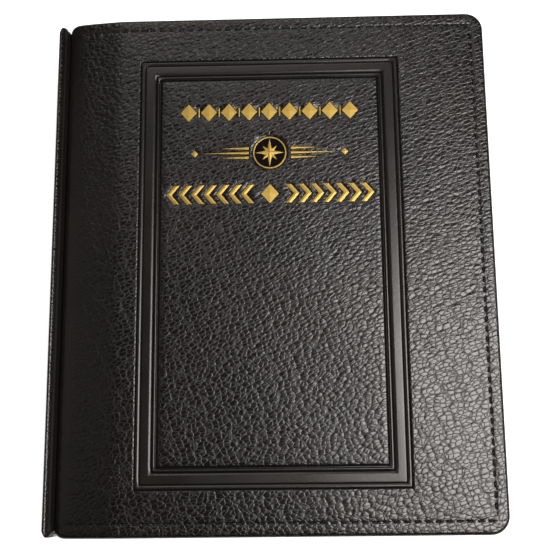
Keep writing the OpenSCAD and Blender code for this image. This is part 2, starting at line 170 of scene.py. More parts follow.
def inside(points, polygon):
    """Whether each point is inside the polygon."""
    x, y = points[:, 0], points[:, 1]
    found = np.zeros(len(points), bool)
    for (ax, ay), (bx, by) in zip(polygon, np.roll(polygon, 1, axis=0)):
        if ay != by:
            crosses = (ay > y) != (by > y)
            found ^= crosses & (x < (bx - ax) * (y - ay) / (by - ay) + ax)
    return found


def reach(points, starts, ends):
    """Each point's distance to the nearest of the given segments."""
    best = np.full(len(points), 1e9)
    for a, b in zip(starts, ends):
        d = b - a
        t = np.clip((points - a) @ d / max(d @ d, 1e-12), 0, 1)
        best = np.minimum(best, np.hypot(*(points - a - t[:, None] * d).T))
    return best


def ramp(value, low, high):
    """0 below low, 1 above high, and smooth between them."""
    t = np.clip((value - low) / (high - low), 0, 1)
    return t * t * (3 - 2 * t)


def chain(first, count, closed=False):
    """Edges between consecutive points, and back to the first if closed."""
    edges = [(first + i, first + i + 1) for i in range(count - 1)]
    return edges + ([(first + count - 1, first)] if closed else [])


def spread(low, high, step):
    """Numbers from low to high, about a step apart."""
    return np.linspace(low, high, max(2, int(round(abs(high - low) / step)) + 1))


def smooth_path(points, step):
    """Points on a smooth curve through the given ones, about a step apart in their first two numbers."""
    p = np.array(points, float)
    p = np.vstack([2 * p[0] - p[1], p, 2 * p[-1] - p[-2]])
    out = []
    for a, b, c, d in zip(p, p[1:], p[2:], p[3:]):
        n = max(2, int(np.hypot(*(c - b)[:2]) / step) + 1)
        for t in np.arange(n)[:, None] / n:
            out.append(0.5 * (2 * b + (c - a) * t + (2 * a - 5 * b + 4 * c - d) * t ** 2
                              + (3 * b - a - 3 * c + d) * t ** 3)[None])
    return np.vstack(out + [p[-2][None]]).reshape(-1, p.shape[1])


# ---- Foil ornament ----

def lozenge(x, y, w, h):
    return np.array([[x - w / 2, y], [x, y - h / 2], [x + w / 2, y], [x, y + h / 2]])


def star(x, y, reach_r, waist, turn):
    angles = np.radians(np.arange(8) * 45 + turn)
    radii = np.where(np.arange(8) % 2 == 0, reach_r, waist)
    return np.stack([x + radii * np.cos(angles), y + radii * np.sin(angles)], 1)


def upper_band():
    """Lozenges with a bar between each two, as (outline, ridge) pairs."""
    shapes = []
    for x in [i * UPPER_STEP for i in range(-4, 5)]:
        shapes.append((lozenge(x, UPPER_BAND_Y, UPPER_W, UPPER_H), [(x, UPPER_BAND_Y)]))
    w, h = BAR_HALF_W, BAR_HALF_H
    for x in [(i + 0.5) * UPPER_STEP for i in range(-4, 4)]:
        bar = np.array([[x - w, -h], [x + w, -h], [x + w, h], [x - w, h]])
        shapes.append((bar + [0, UPPER_BAND_Y], [(x, UPPER_BAND_Y - h + 0.3), (x, UPPER_BAND_Y + h - 0.3)]))
    return shapes


def rose_arms():
    """The tapered bars on both sides of the rose, and the lozenges at their ends."""
    shapes = []
    for side in (1, -1):
        for y in (-2.2, 0, 2.2):
            tip = 31 - abs(y) * 4
            arm = np.array([[9.5, y - 0.6], [tip, y], [9.5, y + 0.6]]) * side + [0, ROSE_Y]
            shapes.append((arm, [(9.9 * side, y * side + ROSE_Y)]))
        shapes.append((lozenge(34 * side, ROSE_Y, 3.2, 3.2), [(34 * side, ROSE_Y)]))
    return shapes


def lower_band():
    """Chevrons on both sides of a lozenge."""
    h = CHEVRON_HALF_H
    outline = np.array([[0, -h], [2.4, -h], [6, 0], [2.4, h], [0, h], [3.6, 0]])
    ridge = np.array([[1.3, 0.3 - h], [4.8, 0], [1.3, h - 0.3]])
    shapes = [(lozenge(0, LOWER_BAND_Y, 8, 9), [(0, LOWER_BAND_Y)])]
    for side in (1, -1):
        for i in range(1, 8):
            places = [(line + [i * CHEVRON_STEP + 1.5, 0]) * [side, 1] + [0, LOWER_BAND_Y]
                      for line in (outline, ridge)]
            shapes.append((places[0][::side], places[1]))
    return shapes


def circle(x, y, r, n=72):
    angles = np.arange(n) * 2 * math.pi / n
    return np.stack([x + r * np.cos(angles), y + r * np.sin(angles)], 1)


# What is pressed into the leather: every shape, and the whole round of the rose.
PRESSED = [s[0] for s in upper_band() + rose_arms() + lower_band()] + [circle(0, ROSE_Y, ROSE_R)]


def unit(vectors):
    return vectors / np.hypot(*vectors.T)[:, None]


def grown(outline, by):
    """A convex or gently hollow outline moved outwards, with mitred corners."""
    before, after = np.roll(outline, 1, axis=0), np.roll(outline, -1, axis=0)
    n0 = unit(outline - before)[:, ::-1] * [1, -1]
    n1 = unit(after - outline)[:, ::-1] * [1, -1]
    mitre = unit(n0 + n1)
    return outline + mitre * (by / np.maximum((mitre * n0).sum(1), 0.45))[:, None]


def add_foil(solid, outline, ridge, low=-0.17, high=-0.02):
    """One foil shape with sloping faces that rise to its ridge, and walls down into its trench."""
    verts, faces = solid
    ridge = np.array(ridge, float)
    start, n = len(verts), len(outline)
    verts += [(x, y, TOP + TRENCH) for x, y in outline] + [(x, y, TOP + low) for x, y in outline]
    verts += [(x, y, TOP + high) for x, y in ridge]
    faces.append([start + i for i in range(n)][::-1])
    nearest = [int(np.argmin(np.hypot(*(ridge - p).T))) for p in outline]
    for i in range(n):
        j = (i + 1) % n
        faces.append([start + i, start + j, start + n + j, start + n + i])
        a, b = nearest[i], nearest[j]
        top = [start + n + i, start + n + j, start + 2 * n + b]
        faces.append(top if a == b else top + [start + 2 * n + a])


def add_rose(solid):
    """The rose: a round-topped ring with an eight-pointed star in it."""
    verts, faces = solid
    start, n = len(verts), 72
    rings = [(ROSE_R, TRENCH), (ROSE_R, -0.14), (ROSE_R - 0.2, -0.04), (ROSE_R - 0.5, -0.04),
             (ROSE_R - 0.7, -0.14), (ROSE_R - 0.7, TRENCH)]
    for r, h in rings:
        verts += [(x, y, TOP + h) for x, y in circle(0, ROSE_Y, r)]
    for k in range(len(rings)):
        for i in range(n):
            a, b = start + k * n, start + (k + 1) % len(rings) * n
            faces.append([a + i, a + (i + 1) % n, b + (i + 1) % n, b + i])
    add_foil(solid, star(0, ROSE_Y, ROSE_R - 3, 1.3, 45), [(0, ROSE_Y)], high=0.0)
    add_foil(solid, star(0, ROSE_Y, ROSE_R - 1.1, 1.5, 0), [(0, ROSE_Y)], low=-0.12, high=0.12)


# ---- Stitching ----

def stitches():
    """Middle and direction of every stitch: (x, y, dx, dy)."""
    x1, y1 = X1 - STITCH_INSET, HALF_H - STITCH_INSET
    found = []
    for side in (-1, 1):
        for x in np.arange(x1 - STITCH_PITCH / 2, X0 + 4, -STITCH_PITCH):
            found.append((x, side * y1, 1, 0))
    rows = int((y1 - STITCH_PITCH / 2) / STITCH_PITCH)
    for i in range(-rows, rows + 1):
        found.append((x1, i * STITCH_PITCH, 0, 1))
    return np.array(found)


STITCHES = stitches()
HOLES = np.vstack([STITCHES[:, :2] + s * STITCHES[:, 2:] * STITCH_LEN / 2 for s in (-1, 1)])


def track_line(inset):
    """A line along tail, fore-edge and head at that distance from the edge, with points at each stitch."""
    x1, y1 = X1 - inset, HALF_H - inset
    near = np.array([-1.8, -1.35, -0.9, 0.9, 1.35, 1.8])
    xs = np.unique(np.round((STITCHES[STITCHES[:, 2] == 1][:, :1] + near).ravel(), 4))
    ys = np.unique(np.round((STITCHES[STITCHES[:, 3] == 1][:, 1:2] + near).ravel(), 4))
    xs, ys = xs[xs < x1 - 0.4], ys[abs(ys) < y1 - 0.4]
    line = [(x, -y1) for x in xs] + [(x1, -y1)] + [(x1, y) for y in ys] + [(x1, y1)]
    return np.array(line + [(x, y1) for x in xs[::-1]])


def track_height(points, depth):
    """How deep the stitched line and its holes lie, and a mask of the holes, where the leather is darkened
    as painted shade.
    """
    x1, y1 = X1 - STITCH_INSET, HALF_H - STITCH_INSET
    x0 = STITCHES[:, 0].min() - 2
    ends = np.array([[x0, -y1], [x1, -y1], [x1, y1], [x0, y1]])
    away = reach(points, ends[:-1], ends[1:])
    near = away < 1.5
    hole = np.full(len(points), 9.0)
    if near.any():
        hole[near] = np.hypot(*(points[near][:, None] - HOLES[None]).transpose(2, 0, 1)).min(axis=1)
    line = 1 - ramp(away, 0.15, 0.8)
    hollow = 1 - ramp(hole, 0.1, 0.5)
    return -depth * line - 0.25 * hollow, hollow


# ---- The sheet of leather of each cover ----

def dip(x):
    """How far the front cover has dropped at x on its way down to the hinge."""
    t = np.clip((X0 + DIP_W + 1 - x) / (DIP_W + 1), 0, 1)
    return DIP * (0.9 * (np.sqrt(t * t + 0.01) - 0.1) + 0.18 * t ** 6)


# Each row is a point of the outer surface and the point of the inner surface behind it, as (x, z, x, z),
# from the ridge of the spine over the hinge to the cover. Heights are those of the front cover, and
# the back cover's are counted from the other face.
RIDGE = [
    (-98.98, 58.6, -95.1, 56.8), (-98.75, 59.7, -95.4, 56.9), (-98.2, 60.25, -95.5, 57.0),
    (-97.55, 60.2, -95.5, 57.05), (-96.9, 59.75, -95.4, 57.0), (-96.1, 59.0, -95.2, 57.0),
    (-95.3, 58.35, -95.0, 56.95)
]
FRONT_HINGE = [
    (-94.5, 57.85, -94.5, 56.6), (-93.9, 57.6, -93.9, 56.35), (-93.55, 57.75, -93.3, 56.35),
    (-93.35, 58.3, -92.7, 56.6), (-93.15, 59.0, -92.2, 56.75), (-92.7, 59.65, -91.7, 56.8),
    (-92.0, 60.11, -91.3, 56.75), (-91.2, 60.46, -90.9, 56.75)
]
BACK_HINGE = [
    (-94.5, 58.1, -94.4, 56.85), (-94.0, 58.1, -93.8, 56.8), (-93.5, 58.7, -92.6, 57.6),
    (-93.2, 60.2, -91.9, 58.9), (-92.8, 61.8, -91.6, 59.6), (-92.2, 63.1, -91.3, 60.0),
    (-91.4, 63.75, -90.9, 60.0)
]
FLAT_X0 = -90.4
DIP_X1 = -66
STEP = 2.6


class Sheet:
    """A cover's leather as a flat sheet, and how it wraps round the cover, the hinge and the spine."""

    def __init__(self, front):
        self.front = front
        flat_x = np.concatenate([spread(FLAT_X0, DIP_X1, 1.2)[:-1], spread(DIP_X1, X1 - CORNER_R, STEP)])
        drop = dip(flat_x) if front else 0 * flat_x
        flat = np.stack([flat_x, TOP - drop, flat_x, TOP - COVER_T - drop], 1)
        first_z = SEAM_Z if front else TOP - SEAM_Z
        wall_z = spread(first_z, 57, STEP)[:-1]
        wall = np.stack([SPINE_X + 0 * wall_z, wall_z, SPINE_IN + 0 * wall_z, wall_z], 1)
        bend = smooth_path([wall[-1]] + RIDGE + (FRONT_HINGE if front else BACK_HINGE) + [flat[0]], 0.5)
        rows = np.vstack([wall, bend[1:-1], flat, [[X1, TOP, X1, TOP - COVER_T]]])
        steps = np.hypot(*np.diff(rows[:, :2], axis=0).T)
        u = np.concatenate([[0], np.cumsum(steps)])
        first_flat = len(rows) - len(flat) - 1
        u += FLAT_X0 - u[first_flat]
        u[first_flat:] = rows[first_flat:, 0]
        self.u, self.rows, self.first_flat = u, rows, first_flat
        self.crest = u[np.argmax(rows[:first_flat - 8, 1])]

    def at(self, u):
        """The rows at each u, between those of the table."""
        return np.stack([np.interp(u, self.u, column) for column in self.rows.T], 1)

    def thickness(self, u):
        rows = self.at(u)
        return np.hypot(rows[:, 0] - rows[:, 2], rows[:, 1] - rows[:, 3])

    def place(self, u, y, h):
        """Points at height h over the sheet, in the frame."""
        u, y, h = np.broadcast_arrays(*(np.atleast_1d(np.asarray(v, float)) for v in (u, y, h)))
        rows = self.at(u)
        x, z = (rows[:, :2] + unit(rows[:, :2] - rows[:, 2:]) * h[:, None]).T
        return np.stack([x, y, z if self.front else TOP - z], 1)

    def half_height(self, u):
        """Where the sheet ends at head and tail: round at the cover's corner, short in the groove."""
        x, z = self.at(np.atleast_1d(u)).T[:2]
        into = np.clip((X0 + CORNER_IN_W - 1.4 - x) / CORNER_IN_W, 0, 1)
        cover = HALF_H - INNER_CORNER_R * (1 - np.sqrt(1 - into ** 2))
        groove = HALF_H - INNER_CORNER_R
        end = SPINE_HALF_H - 1.6 * ramp(-x, 97.7, 99) * ramp(z, 56, 59)
        end -= (SPINE_HALF_H - groove) * ramp(x, -97, HINGE_X + 0.4)
        return np.where(x > HINGE_X + 0.4, np.maximum(cover, groove), end)

    def outline(self):
        """Points round tail, fore-edge and head, each with its outward direction."""
        us = self.u[:-1]
        half = self.half_height(us)
        turn = np.radians(np.linspace(-90, 0, 11))[1:-1]
        cx, cy = X1 - CORNER_R, HALF_H - CORNER_R
        side = spread(-cy, cy, STEP)
        rows = [(u, -h, 0, -1) for u, h in zip(us, half)]
        rows += [(cx + CORNER_R * math.cos(a), -cy + CORNER_R * math.sin(a), math.cos(a), math.sin(a))
                 for a in turn]
        rows += [(X1, y, 1, 0) for y in side]
        rows += [(cx + CORNER_R * math.cos(a), cy - CORNER_R * math.sin(a), math.cos(a), -math.sin(a))
                 for a in turn[::-1]]
        rows += [(u, h, 0, 1) for u, h in zip(us[::-1], half[::-1])]
        return np.array(rows)


def frame_inset(points):
    """How far inside the pressed frame's outer edge each point is."""
    return np.minimum(FRAME_W / 2 - abs(points[:, 0]), FRAME_H / 2 - abs(points[:, 1] - FRAME_Y))


def frame_loops():
    """The pressed frame's lines as nested rectangles, with edges at their mitres."""
    points, edges, starts = [], [], []
    across, along = 36, 60
    for inset, _ in FRAME_PROFILE:
        w, h = FRAME_W / 2 - inset, FRAME_H / 2 - inset
        bottom = [(-w + 2 * w * i / across, -h) for i in range(across)]
        right = [(w, -h + 2 * h * i / along) for i in range(along)]
        loop = np.array(bottom + right)
        loop = np.vstack([loop, -loop]) + [0, FRAME_Y]
        starts.append(len(points))
        edges += chain(len(points), len(loop), closed=True)
        points += loop.tolist()
    corners = [0, across, across + along, 2 * across + along]
    for a, b in zip(starts, starts[1:]):
        edges += [(a + c, b + c) for c in corners]
    return points, edges


def surface(sheet, points):
    """Height, smoothness and pressing of the leather at points (u, y) of its sheet. Pressing darkens the
    leather's colour: as painted shade in the stitch holes and the hinge groove, and partly as burnished
    leather, partly as painted shade, in the frame's grooves and round the foil.
    """
    front = sheet.front
    u, y = points.T
    cover = u > FLAT_X0
    height, track = track_height(points, 0.1 if front else 0.3)
    edge = np.minimum(np.minimum(X1 - u, HALF_H - abs(y)), 12) / 12
    calm = np.where(cover, np.clip(edge, 0, 1) * ramp(u, FLAT_X0, FLAT_X0 + 14), 0)
    waves = 0.09 * np.sin(u / 19 + 1.3) * np.sin(y / 27 + 0.5) + 0.05 * np.sin(u / 9 + y / 14)
    height += calm * waves - 0.1 * calm
    past = u - sheet.crest
    smooth = 1 - ramp(u, X0 + 1.5, X0 + 9)
    smooth = np.where(past < 2.5, 0.15 + 0.85 * ramp(past, 0.8, 2.4), smooth)
    groove = ramp(past, 2.2, 3.4) * (1 - ramp(u, FLAT_X0 - 3.2, FLAT_X0 - 2.2))
    # Pressing here marks the stitch holes and the hinge groove, which the leather's colour darkens as
    # painted shade.
    press_and_shade = np.maximum(0.6 * track, groove)
    if front:
        inset = frame_inset(points)
        insets, heights = np.array(FRAME_PROFILE).T
        height += np.interp(inset, insets, heights, left=0, right=0)
        banded = ramp(inset, -0.15, 0.1) * (1 - ramp(inset, FRAME_IN - 0.5, FRAME_IN))
        smooth = np.maximum(smooth, banded)
        # The deep parts of the frame's grooves count as pressed, darkened partly as burnished leather and
        # partly as painted shade.
        press_and_shade = np.maximum(press_and_shade, banded * ramp(-np.interp(inset, insets, heights), 0.26, 0.42))
        near = (abs(u) < 60) & (y > LOWER_BAND_Y - 8) & (y < UPPER_BAND_Y + 8)
        away = np.full(len(u), 9.0)
        for outline in PRESSED:
            away[near] = np.minimum(away[near], reach(points[near], outline, np.roll(outline, -1, axis=0)))
            within = inside(points[near], outline)
            away[np.flatnonzero(near)[within]] = 0
        sunk = 1 - ramp(away, TRENCH_W * 0.4, TRENCH_W)
        height += TRENCH * sunk
        # The trenches round the foil count as pressed, darkened partly as burnished leather and partly as
        # painted shade.
        press_and_shade = np.maximum(press_and_shade, sunk)
        smooth = np.maximum(smooth, sunk)
    return height, smooth, press_and_shade


def rim(sheet, path):
    """The rolled edge as loops of (outwards, depth) for the leather's two faces, and its outer radius."""
    thick = sheet.thickness(path[:, 0])
    skin = np.minimum(LEATHER_T, 0.42 * thick)
    r1, r2 = np.minimum(1.5, 0.45 * thick), np.minimum(1.0, 0.35 * thick)
    outer, inner = [], []
    for a in np.radians([0, 22.5, 45, 67.5, 90]):
        outer.append((-r1 * (1 - math.sin(a)), r1 * (1 - math.cos(a))))
        inner.append((-r1 + (r1 - skin) * math.sin(a), r1 - (r1 - skin) * math.cos(a)))
    outer.append((0 * r1, thick - r2))
    inner.append((-skin, np.minimum(thick - r2, thick - 1.1 * skin)))
    for k, a in enumerate(np.radians([30, 60, 90])):
        outer.append((-r2 * (1 - math.cos(a)), thick - r2 * (1 - math.sin(a))))
        inner.append((-skin - 0.04 * (k + 1), thick - 1.05 * skin))
    outer.append((-TURN_IN + 0 * r1, thick))
    inner.append((-TURN_IN + 0 * r1, thick - skin))
    return outer, inner, r1


def sheet_points(sheet, border):
    """Points of a sheet, first its border, and the edges that the leather's creases follow."""
    points = border.tolist()
    edges = chain(0, len(border), closed=True)

    def include(more, links):
        edges.extend((a + len(points), b + len(points)) for a, b in links)
        points.extend(more)

    for off in (-0.95, -0.4, 0, 0.4, 0.95):
        line = track_line(STITCH_INSET + off)
        include(line.tolist(), chain(0, len(line)))
    if sheet.front:
        include(*frame_loops())
        for outline in PRESSED:
            for by in (0, TRENCH_W * 0.4, TRENCH_W):
                loop = grown(outline, by) if by else outline
                include(loop.tolist(), chain(0, len(loop), closed=True))
    return points + sheet_fill(sheet).tolist(), edges


def sheet_fill(sheet):
    """Points that fill a sheet, clear of its border, its stitches and what is pressed into it."""
    columns = np.concatenate([sheet.u[1:sheet.first_flat], spread(FLAT_X0, DIP_X1, 1.6),
                              spread(DIP_X1 + 2, X1 - 3, STEP)])
    fill = []
    for u in columns:
        ys = spread(3 - HALF_H, HALF_H - 3, 4 if sheet.u[0] + 1 < u < FLAT_X0 else STEP)
        fill += [(u, y) for y in ys[abs(ys) < float(sheet.half_height(u)[0]) - 2.4]]
    fill = np.array(fill)
    inset = np.minimum(X1 - fill[:, 0], HALF_H - abs(fill[:, 1]))
    keep = (inset > 2.9) & ((abs(inset - STITCH_INSET) > 1.7) | (fill[:, 0] < X0 + 2))
    into_corner = np.maximum([fill[:, 0] - X1 + CORNER_R, abs(fill[:, 1]) - HALF_H + CORNER_R], 0)
    keep &= np.hypot(*into_corner) < CORNER_R - 2.6
    if sheet.front:
        inset = frame_inset(fill)
        keep &= (inset < -1.2) | (inset > FRAME_IN + 1.0)
        starts = np.vstack(PRESSED)
        ends = np.vstack([np.roll(p, -1, axis=0) for p in PRESSED])
        near = (abs(fill[:, 0]) < 60) & (abs(fill[:, 1] - ROSE_Y) < 40)
        keep[near] &= reach(fill[near], starts, ends) > 1.0
    return fill[keep]


def leather_skin(name, sheet, material):
    """A cover's leather as one closed piece, from the seam on the spine to the fore-edge."""
    path = sheet.outline()
    outer, inner, r1 = rim(sheet, path)
    edge = path[:, :2] - path[:, 2:] * r1[:, None]
    seam_y = spread(edge[-1, 1], -edge[-1, 1], STEP)[1:-1]
    seam = np.stack([seam_y * 0 + edge[0, 0], seam_y], 1)
    border = np.vstack([edge, seam])
    points, edges = sheet_points(sheet, border)

    flat, faces, where = triangulate(points, edges, lambda middles: inside(middles, border))
    height, smooth, press_and_shade = surface(sheet, flat)
    t = np.minimum(LEATHER_T, 0.42 * sheet.thickness(flat[:, 0]))
    verts = [sheet.place(*flat.T, height), sheet.place(*flat.T, -t)]
    wear = 0.35 * (abs(flat[:, 0] - sheet.crest) < 1.2)
    grain = [flat, flat]
    # Each point's smoothness, pressing and wear; pressing also darkens the colour as painted shade in
    # grooves and holes.
    finish_and_shade = [np.stack([smooth, press_and_shade, wear], 1)] * 2
    n = len(flat)
    tops = [tuple(f) for f in faces]
    made = tops + [(n + c, n + b, n + a) for a, b, c in tops]

    rows = len(path)
    rim_smooth = np.interp(path[:, 0], [FLAT_X0, FLAT_X0 + 6, FLAT_X0 + 10], [1, 0.8, 0])
    along = np.zeros(rows)
    loops = []
    for k in range(len(outer)):
        pair = []
        for which, (o, d) in enumerate((outer[k], inner[k])):
            if k == 0:
                pair.append(where[:rows] + which * n)
                continue
            u, y = (path[:, :2] + path[:, 2:] * np.reshape(o, (-1, 1))).T
            pair.append(np.arange(rows) + sum(len(v) for v in verts))
            verts.append(sheet.place(u, y, -d))
            if which == 0:
                before = outer[k - 1]
                along = along + np.hypot(o - before[0], d - before[1])
            grain.append(edge + path[:, 2:] * along[:, None])
            worn = 1.0 if 1 <= k <= 3 else 0.25
            finish_and_shade.append(np.stack([rim_smooth, 0 * u, 0 * u + worn], 1))
        loops.append(pair)

    def bridge(a, b):
        for i in range(len(a) - 1):
            made.append((a[i], b[i], b[i + 1], a[i + 1]))

    for (a_out, a_in), (b_out, b_in) in zip(loops, loops[1:]):
        bridge(a_out, b_out)
        bridge(b_in, a_in)
    bridge(loops[-1][0], loops[-1][1])
    seam_ids = np.concatenate([[where[rows - 1]], where[rows:rows + len(seam)], [where[0]]])
    bridge(seam_ids, seam_ids + n)
    first = [pair[0][0] for pair in loops], [pair[1][0] for pair in loops]
    last = [pair[0][-1] for pair in loops], [pair[1][-1] for pair in loops]
    bridge(*first)
    bridge(last[1], last[0])

    grain = np.vstack(grain)
    if not sheet.front:
        grain[:, 0] = FRONT_SHEET.u[0] - (grain[:, 0] - sheet.u[0])
        made = [f[::-1] for f in made]
    grain = np.column_stack([grain, np.zeros(len(grain))]) * MM
    attributes = {"grain": grain, "finish_and_shade": np.vstack(finish_and_shade)}
    return make(name, np.vstack(verts), made, [material], attributes=attributes, sharp=50)


def stitch_threads(name, sheet, material):
    """Every stitch of a cover as a bent thread on the leather and another on the lining."""
    verts, faces = [], []
    sides = 8
    bend = [(-0.5, -0.75), (-0.47, -0.3), (-0.38, -0.08), (-0.2, 0.04), (0, 0.07),
            (0.2, 0.04), (0.38, -0.08), (0.47, -0.3), (0.5, -0.75)]
    for outer in (True, False):
        for x, y, dx, dy in STITCHES:
            tilt = math.radians(random.uniform(3, 8))
            lift = random.uniform(-0.03, 0.03) + (0.04 if sheet.front or not outer else -0.12)
            ax, ay = dx * math.cos(tilt) - dy * math.sin(tilt), dx * math.sin(tilt) + dy * math.cos(tilt)
            start = len(verts)
            for k, (along, up) in enumerate(bend):
                for s in range(sides):
                    a = 2 * math.pi * s / sides
                    across = math.cos(a) * THREAD_R * 1.1
                    steep = min(max(0, abs(along) - 0.38) * 5, 1)
                    h = up + lift - 0.22 + math.sin(a) * THREAD_R * (1 - 0.6 * steep)
                    lean = steep if along > 0 else -steep
                    run = along * STITCH_LEN + math.sin(a) * THREAD_R * lean
                    u, v = x + ax * run - ay * across, y + ay * run + ax * across
                    depth = h if outer else -COVER_T - h
                    verts.append(sheet.place(u, v, depth)[0])
            for k in range(len(bend) - 1):
                for s in range(sides):
                    a, b = start + k * sides + s, start + k * sides + (s + 1) % sides
                    faces.append((a, b, b + sides, a + sides))
            end = start + (len(bend) - 1) * sides
            faces.append([start + s for s in range(sides)][::-1])
            faces.append([end + s for s in range(sides)])
    return make(name, verts, faces, [material], sharp=80)


# ---- Linings ----

def lining_sheet(name, place, outline, thickness, material, feature=None, flip=False):
    """A thin sheet with rolled edges. place turns (a, b, height) into the frame, with height out of it."""
    round_r = 0.35 * thickness
    centre = outline.mean(axis=0)
    loops = [(round_r, 0), (0.3 * round_r, -0.3 * round_r), (0, -round_r), (0, -thickness)]
    inner = grown(outline, -round_r)
    low, high = outline.min(axis=0) + 3, outline.max(axis=0) - 3
    grid = np.array([(a, b) for a in spread(low[0], high[0], 4) for b in spread(low[1], high[1], 4)])
    shrunk = centre + (outline - centre) * (1 - 4 / np.abs(outline - centre).max(axis=0))
    grid = grid[inside(grid, shrunk)]
    points = inner.tolist() + grid.tolist()
    edges = chain(0, len(inner), closed=True)
    if feature is not None:
        for line in feature:
            edges += chain(len(points), len(line), closed=True)
            points += line.tolist()
    flat, faces, where = triangulate(points, edges, lambda middles: inside(middles, inner))
    height = np.zeros(len(flat))
    if feature is not None:
        height = -0.12 * (1 - ramp(reach(flat, feature[1], np.roll(feature[1], -1, axis=0)), 0.15, 0.5))
    n, rows = len(flat), len(outline)
    verts = [place(*flat.T, height), place(*flat.T, 0 * flat[:, 0] - thickness)]
    made = [tuple(f) for f in faces] + [(n + c, n + b, n + a) for a, b, c in faces]
    before = where[:rows]
    for k, (inset, h) in enumerate(loops[1:]):
        loop = grown(outline, -inset) if inset else outline
        ids = np.arange(rows) + sum(len(v) for v in verts)
        verts.append(place(*loop.T, 0 * loop[:, 0] + h))
        made += [(before[i], ids[i], ids[(i + 1) % rows], before[(i + 1) % rows]) for i in range(rows)]
        before = ids
    under = where[:rows] + n
    made += [(before[i], under[i], under[(i + 1) % rows], before[(i + 1) % rows]) for i in range(rows)]
    if flip:
        made = [f[::-1] for f in made]
    return make(name, np.vstack(verts), made, [material], sharp=50)


def rounded_box(x0, x1, half, r, step=4.0):
    """A rectangle with rounded corners as a closed line with points about a step apart."""
    line = []
    corners = [(x1 - r, -half + r, -90), (x1 - r, half - r, 0),
               (x0 + r, half - r, 90), (x0 + r, -half + r, 180)]
    for i, (cx, cy, a0) in enumerate(corners):
        for a in np.radians(np.linspace(a0, a0 + 90, 7)):
            line.append((cx + r * math.cos(a), cy + r * math.sin(a)))
        nx, ny, na = corners[(i + 1) % 4]
        end = (nx + r * math.cos(math.radians(na)), ny + r * math.sin(math.radians(na)))
        count = int(math.dist(line[-1], end) / step)
        first = line[-1]
        line += [(first[0] + (end[0] - first[0]) * k / count, first[1] + (end[1] - first[1]) * k / count)
                 for k in range(1, count)]
    return np.array(line)


def cover_lining(name, sheet, material):
    """The lining of a cover, with a line pressed in all round near its edge."""
    outline = rounded_box(FLAT_X0 - 0.2, X1 - LINING_INSET, HALF_H - LINING_INSET, 5)
    pressed = [rounded_box(FLAT_X0 + 8 - d, X1 - 12 + d, HALF_H - 12 + d, 3) for d in (0.4, 0, -0.4)]

    def place(u, y, h):
        return sheet.place(u, y, -COVER_T - h)

    return lining_sheet(name, place, outline, LINING_T, material, feature=pressed, flip=sheet.front)


def hinge_liner(name, points, front, material):
    """The strip of leather that lines a hinge on the inside."""
    path = smooth_path(points, 0.4)
    step = np.gradient(path, axis=0)
    step /= np.hypot(*step.T)[:, None]
    normal = step[:, ::-1] * [-1, 1]
    count = np.arange(len(path))
    t = 0.33 * np.minimum(1, (np.minimum(count, count[::-1]) + 0.8) / 2)
    ring = np.vstack([path + normal * t[:, None], (path - normal * t[:, None])[::-1]])
    n = len(ring)
    ys = spread(-114.3, 114.3, 5)
    verts, grain = [], []
    run = np.concatenate([count, count[::-1]]) * 0.4
    for y in ys:
        verts += [(x, y, z if front else TOP - z) for x, z in ring]
        grain += [(g, y, 0) for g in run]
    faces = [[k * n + i, k * n + (i + 1) % n, (k + 1) * n + (i + 1) % n, (k + 1) * n + i]
             for k in range(len(ys) - 1) for i in range(n)]
    half = n // 2
    for k, turned in ((0, False), (len(ys) - 1, True)):
        for i in range(half - 1):
            cap = [k * n + i, k * n + n - 1 - i, k * n + n - 2 - i, k * n + i + 1]
            faces.append(cap[::-1] if turned else cap)
    if front:
        faces = [f[::-1] for f in faces]
    # Smooth, and a little pressed, which darkens the strip slightly as painted shade, and not worn.
    finish_and_shade = np.tile([0.55, 0.1, 0.0], (len(verts), 1))
    attributes = {"grain": np.array(grain) * MM, "finish_and_shade": finish_and_shade}
    return make(name, verts, faces, [material], attributes=attributes, sharp=60)


# ---- Leaves ----

class Leaves:
    """Where leaves lie: a margin that slopes down from the rings, and then level to the fore-edge."""

    def __init__(self, slope, q0, z0):
        self.slope, self.q0, self.z0 = slope, q0, z0

    def hole(self, t):
        return math.sqrt(RING_R ** 2 - (self.q0 + t) ** 2)

    def place(self, s, y, t):
        """Points s along, y across and t up in the stack."""
        s, y, t = np.broadcast_arrays(*(np.atleast_1d(np.asarray(v, float)) for v in (s, y, t)))
        q, z = self.q0 + t, self.z0 + t
        cos, sin = math.cos(self.slope), math.sin(self.slope)
        bend = (q * cos - z) / sin
        bend_x = bend * cos + q * sin
        x = bend_x + np.where(s < bend, (s - bend) * cos, s - bend)
        short = bend_x - x
        z = z + math.tan(self.slope) * 0.5 * (short + np.sqrt(short ** 2 + 6))
        return np.stack([RING[0] + x, y, RING[1] + z], 1)


def slot_outline(leaves, t, y):
    """The slot that a ring sweeps through a leaf."""
    q = leaves.q0 + t
    r0, r1 = RING_R - WIRE_R - 0.4, RING_R + WIRE_R + 4.7
    s0, s1 = math.sqrt(r0 ** 2 - q ** 2), math.sqrt(r1 ** 2 - q ** 2)
    r = WIRE_R + 0.4
    line = []
    for middle, first in ((s1 - r, -90), (s0 + r, 90)):
        for a in np.radians(np.linspace(first, first + 180, SLOT_ARC)):
            line.append((middle + r * math.cos(a), y + r * math.sin(a)))
    return np.array(line)


